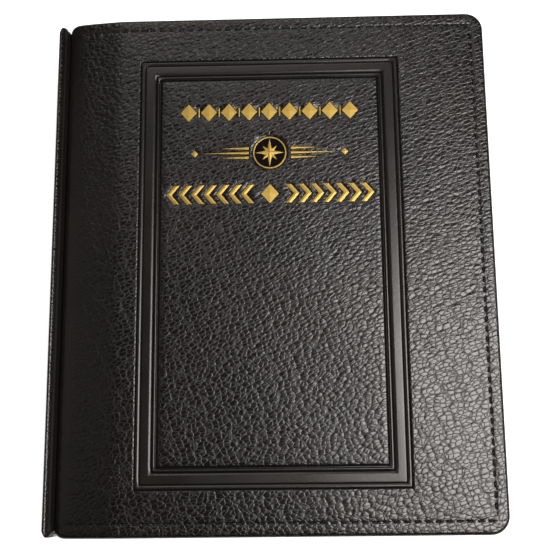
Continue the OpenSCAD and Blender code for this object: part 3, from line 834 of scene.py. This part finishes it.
def leaf_outline(leaves, t, out, tab):
    """The line round a leaf of the level t, moved outwards by out, with its tab if it has one."""
    s0 = leaves.hole(t) - HOLE_EDGE - out
    s1 = leaves.hole(t) + LEAF_W - HOLE_EDGE + out
    cos, sin = math.cos(leaves.slope), math.sin(leaves.slope)
    bend = ((leaves.q0 + t) * cos - leaves.z0 - t) / sin
    half = LEAF_HALF_H + out
    bend0, bend1 = bend - BEND_REACH, bend + BEND_REACH
    stops = np.concatenate([np.linspace(s0, bend0, 4)[:-1], np.linspace(bend0, bend1, 13)[:-1],
                            np.linspace(bend1, s1, 9)])
    if tab is None:
        fore = [(s1, y) for y in spread(-half, half, LEAF_ROW)[1:-1]]
    else:
        a, b, far, r = tab[0], tab[1], tab[2] + out, TAB_CORNER_R
        turns = [(r * math.sin(w), r * math.cos(w)) for w in np.radians((0, 30, 60, 90))]
        round_tab = [(0, a - 2), (0.6, a - 0.7), (2, a)]
        round_tab += [(far - r + sin, a + r - cos) for sin, cos in turns]
        round_tab += [(far - r + cos, b - r + sin) for sin, cos in turns]
        round_tab += [(2, b), (0.6, b + 0.7), (0, b + 2)]
        inner = [p for p in round_tab if abs(p[1]) < half - 0.5]
        below = [(0, y) for y in spread(-half, inner[0][1], LEAF_ROW)[1:-1]]
        above = [(0, y) for y in spread(inner[-1][1], half, LEAF_ROW)[1:-1]]
        fore = [(s1 + d, y) for d, y in below + inner + above]
    head = [(s, half) for s in stops[::-1]]
    back = [(s0, y) for y in spread(half, -half, LEAF_ROW)[1:-1]]
    return np.array([(s, -half) for s in stops] + fore + head + back)


def leaf_levels(t0, t1, layers, ragged):
    """The level of each line round a block, and how far out it is: layers with a groove between each two."""
    levels = []
    step = (t1 - t0) / layers
    gap = min(0.3 * step, 0.12)
    for k in range(layers):
        out = random.uniform(-ragged, ragged)
        low, high = t0 + k * step, t0 + (k + 1) * step
        levels += [(low + (gap / 2 if k else 0), out), (high - (gap / 2 if k < layers - 1 else 0), out)]
        if k < layers - 1:
            levels.append((high, out - LEAF_GROOVE))
    return levels


def leaf_face(leaves, t, line, tab):
    """The triangles of a leaf inside its outline and round its slots."""
    slots = [slot_outline(leaves, t, y) for y in RING_YS]
    points = line.tolist()
    edges = chain(0, len(line), closed=True)
    for slot in slots:
        edges += chain(len(points), len(slot), closed=True)
        points += slot.tolist()
    if tab is not None:
        root = [[line[:, 0].max() - tab[2] + 2, y] for y in tab[:2]]
        edges.append([int(np.argmin(np.hypot(*(line - p).T))) for p in root])
    cuts = np.unique(np.round(line[:, 0], 4))
    fore_edge = leaves.hole(t) + LEAF_W - HOLE_EDGE
    cuts = cuts[(cuts > line[:, 0].min() + 1.5) & (cuts < fore_edge - 1.5)]
    grid = np.array([(s, y) for s in cuts for y in spread(-LEAF_HALF_H + 5, LEAF_HALF_H - 5, LEAF_ROW)])
    clear = np.ones(len(grid), bool)
    for slot in slots:
        clear &= (reach(grid, slot, np.roll(slot, -1, axis=0)) > 1.2) & ~inside(grid, slot)
    points += grid[clear].tolist()

    def keep(middles):
        good = inside(middles, line)
        for slot in slots:
            good &= ~inside(middles, slot)
        return good

    return triangulate(points, edges, keep)


def paper_block(name, leaves, t0, t1, layers, materials, tab=None, ragged=0.1):
    """A block of leaves whose edges show its layers, with a slot for each ring and perhaps a tab.

    A tab is given as its two ends along the fore-edge and how far it stands out.
    """
    verts, on_leaf, walls, flats = [], [], [], []

    def lay(points, t):
        """Adds points (s, y) of the level t, and gives their numbers."""
        ids = np.arange(len(points)) + sum(len(v) for v in verts)
        verts.append(leaves.place(*points.T, t))
        on_leaf.append(np.column_stack([points, np.full(len(points), t)]))
        return ids

    lines = [(leaf_outline(leaves, t, out, tab), t) for t, out in leaf_levels(t0, t1, layers, ragged)]
    loops = [lay(line, t) for line, t in lines]
    rows = len(loops[0])
    for a, b in zip(loops, loops[1:]):
        walls += [(a[i], a[(i + 1) % rows], b[(i + 1) % rows], b[i]) for i in range(rows)]
    slot_ends = []
    for end in (0, -1):
        line, t = lines[end]
        flat, tris, where = leaf_face(leaves, t, line, tab)
        fresh = np.ones(len(flat), bool)
        fresh[where[:rows]] = False
        new = np.zeros(len(flat), int)
        new[where[:rows]] = loops[end]
        new[fresh] = lay(flat[fresh], t)
        flats += [tuple(f) if end else tuple(f[::-1]) for f in new[tris]]
        slot_ends.append(new[where[rows:rows + 2 * SLOT_ARC * len(RING_YS)]].reshape(len(RING_YS), -1))
    for y, low, high in zip(RING_YS, *slot_ends):
        middle = [lay(slot_outline(leaves, t, y), t) for t in np.linspace(t0, t1, 4)[1:-1]]
        rings = [low, *middle, high]
        for a, b in zip(rings, rings[1:]):
            walls += [(a[(i + 1) % len(a)], a[i], b[i], b[(i + 1) % len(a)]) for i in range(len(a))]
    verts, faces = np.vstack(verts), walls + flats
    slots = None
    if tab is not None:
        past = leaves.hole(t0) + LEAF_W - HOLE_EDGE + TAB_PAINT_FROM
        limit = leaves.place(past, 0, t0)[0, 0]
        slots = [int(min(verts[i, 0] for i in f) > limit) for f in faces]
    attributes = {"leaf": np.vstack(on_leaf) * MM}
    obj = make(name, verts, faces, materials, attributes=attributes, sharp=35, slots=slots)
    edge = obj.data.attributes.new("leaf_edge", "FLOAT", "FACE")
    edge.data.foreach_set("value", [1.0] * len(walls) + [0.0] * len(flats))
    return obj


# ---- Materials ----

def add(tree, kind, props=None, **inputs):
    """A new node with its properties set, and its inputs set or linked.

    An input is named with _ for a space, or by its number, as in i0.
    """
    node = tree.nodes.new(kind)
    for key, value in (props or {}).items():
        setattr(node, key, value)
    for key, value in inputs.items():
        by_number = key[0] == "i" and key[1:].isdigit()
        socket = node.inputs[int(key[1:]) if by_number else key.replace("_", " ")]
        if isinstance(value, bpy.types.NodeSocket):
            tree.links.new(value, socket)
        else:
            socket.default_value = value
    return node


def new_material(name, **settings):
    """A material with its shader, whose uniform settings are given by socket name."""
    material = bpy.data.materials.new(name)
    material.use_nodes = True
    tree = material.node_tree
    shader = tree.nodes["Principled BSDF"]
    for key, value in settings.items():
        shader.inputs[key.replace("_", " ")].default_value = value
    return material, tree, shader


def object_place(tree):
    return add(tree, "ShaderNodeTexCoord").outputs["Object"]


def attribute(tree, name, output="Vector"):
    return add(tree, "ShaderNodeAttribute", {"attribute_name": name}).outputs[output]


def stretched(tree, vector, scale):
    """The vector scaled by its own amount along each axis."""
    node = add(tree, "ShaderNodeMapping", None, Vector=vector)
    node.inputs["Scale"].default_value = scale
    return node.outputs[0]


def math_node(tree, operation, a, b=0.0, clamp=False):
    return add(tree, "ShaderNodeMath", {"operation": operation, "use_clamp": clamp}, i0=a, i1=b).outputs[0]


def times(tree, a, b):
    return math_node(tree, "MULTIPLY", a, b)


def plus(tree, a, b, weight=1.0):
    """a with that much of b added to it."""
    return math_node(tree, "ADD", a, times(tree, b, weight) if weight != 1 else b)


def mix_value(tree, factor, a, b):
    return add(tree, "ShaderNodeMix", {"data_type": "FLOAT"}, i0=factor, i2=a, i3=b).outputs[0]


def mix_colour(tree, factor, a, b):
    node = add(tree, "ShaderNodeMix", {"data_type": "RGBA"}, i0=factor)
    for index, value in ((6, a), (7, b)):
        if isinstance(value, bpy.types.NodeSocket):
            tree.links.new(value, node.inputs[index])
        else:
            node.inputs[index].default_value = (*value, 1)
    return node.outputs[2]


def soften(tree, value, low, high):
    """0 below low, 1 above high, and smooth between them."""
    node = add(tree, "ShaderNodeMapRange", {"interpolation_type": "SMOOTHSTEP"}, Value=value)
    node.inputs["From Min"].default_value = low
    node.inputs["From Max"].default_value = high
    return node.outputs["Result"]


def noise(tree, vector, scale, detail=2.0, rough=0.5, output=0):
    node = add(tree, "ShaderNodeTexNoise", None, Vector=vector, Scale=scale, Detail=detail, Roughness=rough)
    return node.outputs[output]


def warped(tree, vector, scale, amount):
    """The vector pushed about by noise."""
    push = noise(tree, vector, scale, 0, output="Color")
    kind = "ShaderNodeVectorMath"
    push = add(tree, kind, {"operation": "SUBTRACT"}, i0=push, i1=(0.5, 0.5, 0.5)).outputs[0]
    push = add(tree, kind, {"operation": "SCALE"}, i0=push, Scale=amount).outputs[0]
    return add(tree, kind, {"operation": "ADD"}, i0=vector, i1=push).outputs[0]


def turned(tree, vector, degrees, stretch):
    """The vector turned in its plane and squeezed across, so that cells grow long in one direction."""
    node = add(tree, "ShaderNodeMapping", None, Vector=vector)
    node.inputs["Rotation"].default_value = (0, 0, math.radians(degrees))
    return stretched(tree, node.outputs[0], (1, stretch, 1))


def cells(tree, vector, scale, feature, dimensions="2D"):
    node = add(tree, "ShaderNodeTexVoronoi", {"feature": feature, "voronoi_dimensions": dimensions},
               Vector=vector, Scale=scale)
    node.inputs["Randomness"].default_value = 0.85
    if feature == "SMOOTH_F1":
        node.inputs["Smoothness"].default_value = 0.35
    return node.outputs["Distance"]


def paint(tree, shader, colour, roughness):
    tree.links.new(colour, shader.inputs["Base Color"])
    tree.links.new(roughness, shader.inputs["Roughness"])


def bump(tree, shader, height, strength, distance):
    """Links a bump of that height to the shader."""
    node = add(tree, "ShaderNodeBump", None, Height=height, Strength=strength, Distance=distance)
    tree.links.new(node.outputs[0], shader.inputs["Normal"])


def leather_material():
    """Dark pebbled cowhide: smooth where it is pressed or bends, paler where it is worn, with painted shade
    in the creases of its grain, its stitch holes and hinge groove, and in its pressed lines, which are
    partly burnished too.
    """
    material, tree, shader = new_material("pebbled_leather", Specular_Tint=(1, 0.955, 0.925, 1))
    place = attribute(tree, "grain")
    finish_and_shade = add(tree, "ShaderNodeSeparateXYZ", None, Vector=attribute(tree, "finish_and_shade"))
    smooth, press_and_shade, wear = finish_and_shade.outputs
    bent = warped(tree, warped(tree, place, 110, 0.0012), 420, 0.0005)
    slanted = turned(tree, bent, -20, 1.55)
    crease = soften(tree, cells(tree, slanted, 370, "DISTANCE_TO_EDGE"), 0.0, 0.17)
    dome = math_node(tree, "POWER", cells(tree, slanted, 370, "SMOOTH_F1"), 2.0)
    fold_place = turned(tree, warped(tree, warped(tree, place, 60, 0.004), 330, 0.0012), -20, 2.0)
    fold = soften(tree, cells(tree, fold_place, 120, "DISTANCE_TO_EDGE"), 0.0, 0.11)
    lumps = noise(tree, turned(tree, place, -16, 2.4), 290, 1)
    height = times(tree, crease, 0.2)
    pores = noise(tree, place, 2600, 2)
    for part, weight in ((dome, -1.0), (fold, 0.25), (lumps, 0.95), (pores, 0.02)):
        height = plus(tree, height, part, weight)
    rough_part = math_node(tree, "SUBTRACT", 1.0, smooth, clamp=True)
    bump(tree, shader, height, mix_value(tree, rough_part, 0.07, 1.0), 0.13 * MM)
    patches = soften(tree, noise(tree, place, 22, 4), 0.35, 0.7)
    colour = mix_colour(tree, patches, (0.0050, 0.0034, 0.0028), (0.0095, 0.0062, 0.0050))
    # Painted shade: the grain's creases and folds are darker in the colour, but not where the leather is
    # smooth.
    valley = times(tree, crease, fold)
    valley = mix_value(tree, rough_part, 1.0, valley)
    colour = mix_colour(tree, valley, (0.0025, 0.002, 0.002), colour)
    # Painted shade, partly burnished leather in the tooled lines: pressed lines, stitch holes and the hinge
    # groove darkened towards black.
    colour = mix_colour(tree, times(tree, press_and_shade, 0.75), colour, (0.002, 0.0017, 0.0017))
    rub = times(tree, soften(tree, noise(tree, place, 240, 5, 0.65), 0.48, 0.72), wear)
    colour = mix_colour(tree, times(tree, rub, 0.5), colour, (0.030, 0.025, 0.022))
    shine = noise(tree, place, 70, 3)
    roughness = mix_value(tree, valley, 0.38, 0.17)
    roughness = plus(tree, roughness, shine, 0.08)
    roughness = plus(tree, roughness, smooth, 0.07)
    roughness = mix_value(tree, press_and_shade, roughness, 0.8)
    tree.links.new(mix_value(tree, press_and_shade, 0.55, 0.1), shader.inputs["Specular IOR Level"])
    paint(tree, shader, colour, roughness)
    return material


def lining_material():
    """Fine-grained bonded leather, with painted shade darkening the creases of its grain."""
    material, tree, shader = new_material("bonded_lining", Sheen_Weight=0.08, Specular_IOR_Level=0.35)
    place = object_place(tree)
    grain = cells(tree, warped(tree, place, 400, 0.0006), 1500, "DISTANCE_TO_EDGE", "3D")
    grain = soften(tree, grain, 0.0, 0.3)
    bump(tree, shader, plus(tree, grain, noise(tree, place, 300, 3)), 0.5, 0.1 * MM)
    patches = noise(tree, place, 35, 4)
    colour = mix_colour(tree, patches, (0.030, 0.019, 0.015), (0.048, 0.031, 0.024))
    # Painted shade: the creases of the grain are darker.
    colour = mix_colour(tree, grain, (0.016, 0.010, 0.008), colour)
    paint(tree, shader, colour, mix_value(tree, grain, 0.8, 0.58))
    return material


def thread_material():
    """Waxed black thread, twisted, with painted shade darkening the grooves of the twist."""
    material, tree, shader = new_material("waxed_thread", Specular_IOR_Level=0.3)
    place = object_place(tree)
    twist = add(tree, "ShaderNodeTexWave", {"bands_direction": "DIAGONAL"}, Vector=place, Scale=700.0)
    twist = twist.outputs["Fac"]
    fuzz = noise(tree, place, 3000, 3)
    height = plus(tree, twist, fuzz, 0.5)
    bump(tree, shader, height, 0.6, 0.08 * MM)
    # Painted shade: the thread is darker in the grooves of its twist.
    colour = mix_colour(tree, twist, (0.003, 0.0025, 0.0025), (0.009, 0.008, 0.0075))
    paint(tree, shader, colour, mix_value(tree, fuzz, 0.4, 0.65))
    return material


def foil_material():
    """Gold foil, a little rubbed and uneven."""
    material, tree, shader = new_material("gold_foil", Metallic=1.0)
    place = object_place(tree)
    cloudy = noise(tree, place, 420, 4, 0.6)
    specks = soften(tree, noise(tree, place, 1500, 3, 0.7), 0.62, 0.72)
    colour = mix_colour(tree, cloudy, (0.42, 0.26, 0.05), (0.60, 0.41, 0.12))
    colour = mix_colour(tree, times(tree, specks, 0.6), colour, (0.20, 0.12, 0.03))
    paint(tree, shader, colour, mix_value(tree, cloudy, 0.42, 0.6))
    bump(tree, shader, noise(tree, place, 900, 4), 0.35, 0.12 * MM)
    return material


def metal_material(name, tint, low, high):
    """Nickel or steel with fine rubbing marks along the ring line."""
    material, tree, shader = new_material(name, Metallic=1.0)
    place = object_place(tree)
    marks = noise(tree, stretched(tree, place, (900, 40, 900)), 1.0, 5, 0.6)
    smudge = noise(tree, place, 60, 4)
    colour = mix_colour(tree, smudge, tuple(0.86 * c for c in tint), tint)
    paint(tree, shader, colour, plus(tree, mix_value(tree, marks, low, high), smudge, 0.06))
    bump(tree, shader, marks, 0.12, 0.05 * MM)
    return material


def paper_material(name, light, dark):
    """Paper seen flat or on its edges, where fine dark lines run along the leaves as painted shade between
    them.
    """
    material, tree, shader = new_material(name, Specular_IOR_Level=0.25, Subsurface_Weight=0.05)
    shader.inputs["Subsurface Radius"].default_value = (0.001, 0.0008, 0.0006)
    place = attribute(tree, "leaf")
    on_edge = attribute(tree, "leaf_edge", "Fac")
    lines = noise(tree, stretched(tree, place, (60, 60, 9000)), 1.0, 2)
    fibre = noise(tree, place, 1400, 4, 0.6)
    stain = noise(tree, place, 25, 4)
    colour = mix_colour(tree, stain, dark, light)
    # Painted shade: on the edges the grooves between leaves are darker.
    edge_colour = mix_colour(tree, soften(tree, lines, 0.35, 0.6), tuple(0.55 * c for c in dark), light)
    colour = mix_colour(tree, on_edge, colour, edge_colour)
    paint(tree, shader, colour, mix_value(tree, fibre, 0.7, 0.9))
    relief = mix_value(tree, on_edge, fibre, lines)
    bump(tree, shader, relief, mix_value(tree, on_edge, 0.15, 0.5), 0.08 * MM)
    return material


def tab_material(name, colour):
    """A plastic-coated index tab over card."""
    material, tree, shader = new_material(name, Coat_Weight=0.5, Coat_Roughness=0.15)
    place = object_place(tree)
    scuff = noise(tree, place, 700, 5, 0.7)
    shade = mix_colour(tree, noise(tree, place, 90, 3), tuple(0.8 * c for c in colour), colour)
    paint(tree, shader, shade, mix_value(tree, scuff, 0.25, 0.5))
    bump(tree, shader, scuff, 0.1, 0.05 * MM)
    return material


def board_material():
    """Grey-brown bookbinder's board."""
    material, tree, shader = new_material("grey_board", Specular_IOR_Level=0.2)
    place = object_place(tree)
    fleck = noise(tree, place, 900, 4, 0.7)
    colour = mix_colour(tree, fleck, (0.16, 0.13, 0.10), (0.30, 0.26, 0.20))
    paint(tree, shader, colour, mix_value(tree, fleck, 0.8, 0.95))
    bump(tree, shader, fleck, 0.3, 0.1 * MM)
    return material


leather = leather_material()
lining = lining_material()
thread = thread_material()
foil = foil_material()
plated = metal_material("bright_nickel", (0.58, 0.575, 0.56), 0.13, 0.26)
plain = metal_material("plain_steel", (0.62, 0.63, 0.65), 0.24, 0.42)
paper = paper_material("leaf_paper", (0.80, 0.76, 0.66), (0.72, 0.66, 0.54))
card = paper_material("divider_card", (0.62, 0.52, 0.33), (0.52, 0.42, 0.25))
board = board_material()
TAB_COLOURS = [(0.36, 0.05, 0.04), (0.05, 0.12, 0.30), (0.06, 0.22, 0.10), (0.50, 0.34, 0.06)]


# ---- Leather pieces ----

FRONT_SHEET = Sheet(True)
BACK_SHEET = Sheet(False)


front_skin = leather_skin("front_skin", FRONT_SHEET, leather)
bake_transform(front_skin)
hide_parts("front_leather", "spine_leather")

back_skin = leather_skin("back_skin", BACK_SHEET, leather)
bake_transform(back_skin)
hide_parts("back_leather")

FRONT_LINER = [
    (-94.25, 53.6), (-94.2, 55.2), (-93.9, 56.05), (-93.2, 56.2), (-92.2, 56.05), (-91, 55.95),
    (-89.2, 56.25)
]
BACK_LINER = [
    (-94.25, 53.6), (-94.2, 55.4), (-93.8, 57.0), (-93.0, 58.2), (-92.0, 59.0), (-90.9, 59.5),
    (-89.2, 59.64)
]
front_liner = hinge_liner("front_hinge_liner", FRONT_LINER, True, leather)
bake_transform(front_liner)
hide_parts("front_hinge_leather")
back_liner = hinge_liner("back_hinge_liner", BACK_LINER, False, leather)
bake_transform(back_liner)
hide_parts("back_hinge_leather")

for side, sheet in (("front", FRONT_SHEET), ("back", BACK_SHEET)):
    inside_sheet = cover_lining(f"{side}_lining_sheet", sheet, lining)
    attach(inside_sheet, f"{side}_cover")
    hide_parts(f"{side}_lining")
    stitching = stitch_threads(f"{side}_stitches", sheet, thread)
    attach(stitching, f"{side}_cover")
    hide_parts(f"{side}_stitching")

BOARD_TOP = TOP - 6.9
BOARD_X = SPINE_IN - LINING_T - 0.05


def on_board(z, y, h):
    return np.stack([BOARD_X + h + 0 * z, y, z], 1)


def on_spine_lining(z, y, h):
    return np.stack([SPINE_IN + h + 0 * z, y, z], 1)


board_outline = rounded_box(5.6, BOARD_TOP, SPINE_HALF_H - 2.6, 1.2)
board_t = BOARD_X - SPINE_X - LEATHER_T - 0.1
spine_board = lining_sheet("spine_board_sheet", on_board, board_outline, board_t, board, flip=True)
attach(spine_board, "spine")
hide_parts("spine_board")

spine_outline = rounded_box(5, BOARD_TOP - 0.3, SPINE_HALF_H - LINING_INSET, 0.6)
spine_sheet = lining_sheet(
    "spine_lining_sheet", on_spine_lining, spine_outline, LINING_T - 0.05, lining, flip=True
)
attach(spine_sheet, "spine")
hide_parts("spine_lining")

# ---- Foil pieces ----

for name, shapes, node in (
    ("lozenge_foil", upper_band(), "upper_foil_band"),
    ("rose_foil", rose_arms(), "compass_rose"),
    ("chevron_foil", lower_band(), "lower_foil_band"),
):
    solid = ([], [])
    for outline, ridge in shapes:
        add_foil(solid, outline, ridge)
    if name == "rose_foil":
        add_rose(solid)
    ornament = make(name, *solid, [foil], smooth=False)
    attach(ornament, "front_cover")
    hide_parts(node)

# ---- Leaf packs, dividers and front pages ----

lower = Leaves(SLOPE, -STACK_T / 2, -27.7)
upper = Leaves(FRONT_SLOPE, 10.4, -3.4)
for i in range(4):
    t0 = i * (PACK_T + DIVIDER_T)
    pack = paper_block(f"pack_{i + 1}", lower, t0, t0 + PACK_T, 16, [paper])
    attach(pack, "leaf_stack")
    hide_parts(f"leaves_{i + 1}")
    middle = (i - 1.5) * -LEAF_HALF_H / 2
    tab = tab_material(f"tab_{i + 1}", TAB_COLOURS[i])
    divider = paper_block(
        f"index_divider_{i + 1}", lower, t0 + PACK_T + 0.05, t0 + PACK_T + DIVIDER_T - 0.05, 1,
        [card, tab], tab=(middle - TAB_HALF_W, middle + TAB_HALF_W, TAB_OUT), ragged=0.02
    )
    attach(divider, "leaf_stack")
    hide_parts(f"divider_{i + 1}")

pages = paper_block("front_pages", upper, 0, 5, 15, [paper])
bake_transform(pages)
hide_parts("front_margins", "front_leaves")

# ---- CAD pieces that show ----

METAL = {
    "ring_base_plate": plain, "spring_housing": plated, "housing_rivets": plated, "lever_pins": plain,
    "upper_blade": plain, "lower_blade": plain, "head_lever": plated, "tail_lever": plated,
    **{f"{half}_ring_{i}": plated for half in ("upper", "lower") for i in range(1, 8)}
}
for name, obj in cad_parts.items():
    if obj.hide_render:
        continue
    obj.data.materials.clear()
    obj.data.materials.append(METAL.get(name, board))
    obj.data.shade_smooth()
    obj.data.set_sharp_from_angle(angle=math.radians(35))

# ---- Floor, light and camera ----

FLOOR_W = 8000
FLOOR_GAP = 0.13                        # a little more than the back cover's stitches stand out


def floor():
    """A large pale sheet for the binder to lie on."""
    material, tree, shader = new_material("pale_floor", Roughness=0.8, Specular_IOR_Level=0.2)
    place = object_place(tree)
    shade = mix_colour(tree, noise(tree, place, 3, 2), (0.86, 0.86, 0.86), (0.9, 0.9, 0.9))
    tree.links.new(shade, shader.inputs["Base Color"])
    shader.inputs["Emission Color"].default_value = (1, 1, 1, 1)
    shader.inputs["Emission Strength"].default_value = 0.85
    half = FLOOR_W / 2
    corners = [(-half, -half, 0), (half, -half, 0), (half, half, 0), (-half, half, 0)]
    obj = make("floor", corners, [(0, 1, 2, 3)], [material], smooth=False)
    obj.location.z = -FLOOR_GAP * MM


def area_light(name, position, target, size, power, roll=0):
    """A square light aimed at a target and turned about that line by roll degrees."""
    light = bpy.data.lights.new(name, "AREA")
    light.shape = "SQUARE"
    light.size = size
    light.energy = power
    obj = bpy.data.objects.new(name, light)
    obj.location = position
    aim = (Vector(target) - Vector(position)).to_track_quat("-Z", "Y")
    obj.rotation_euler = (aim @ Quaternion((0, 0, 1), math.radians(roll))).to_euler()
    bpy.context.scene.collection.objects.link(obj)


floor()
area_light("key_softbox", (0.38, -0.02, 0.9), (0.3, 0.03, 0.05), 0.48, 8.8, roll=46)
area_light("head_fill", (-0.2, 1.02, 1.15), (0.0, 0.0, 0.05), 0.8, 3.7)
area_light("spine_fill", (-0.9, 0.1, 1.0), (-0.1, 0.0, 0.05), 0.8, 0.5)

world = bpy.data.worlds.new("studio")
bpy.context.scene.world = world
world.use_nodes = True
sky = world.node_tree
seen = add(sky, "ShaderNodeLightPath").outputs["Is Camera Ray"]
strength = mix_value(sky, seen, 0.02, 0.95)
sky.links.new(strength, sky.nodes["Background"].inputs["Strength"])
sky.nodes["Background"].inputs["Color"].default_value = (1, 1, 1, 1)

bpy.context.scene.view_settings.view_transform = "Standard"

PICTURE = 554
FOCAL = 1007                            # on the scale of PICTURE
SENSOR = 36
camera = bpy.data.cameras.new("camera")
camera.sensor_width = SENSOR
camera.lens = SENSOR * FOCAL / PICTURE
camera_obj = bpy.data.objects.new("camera", camera)
camera_obj.location = (0.0143, -0.0986, 0.4976)
camera_obj.rotation_euler = (math.radians(11.99), math.radians(1.66), math.radians(-0.61))
bpy.context.scene.collection.objects.link(camera_obj)
bpy.context.scene.camera = camera_obj
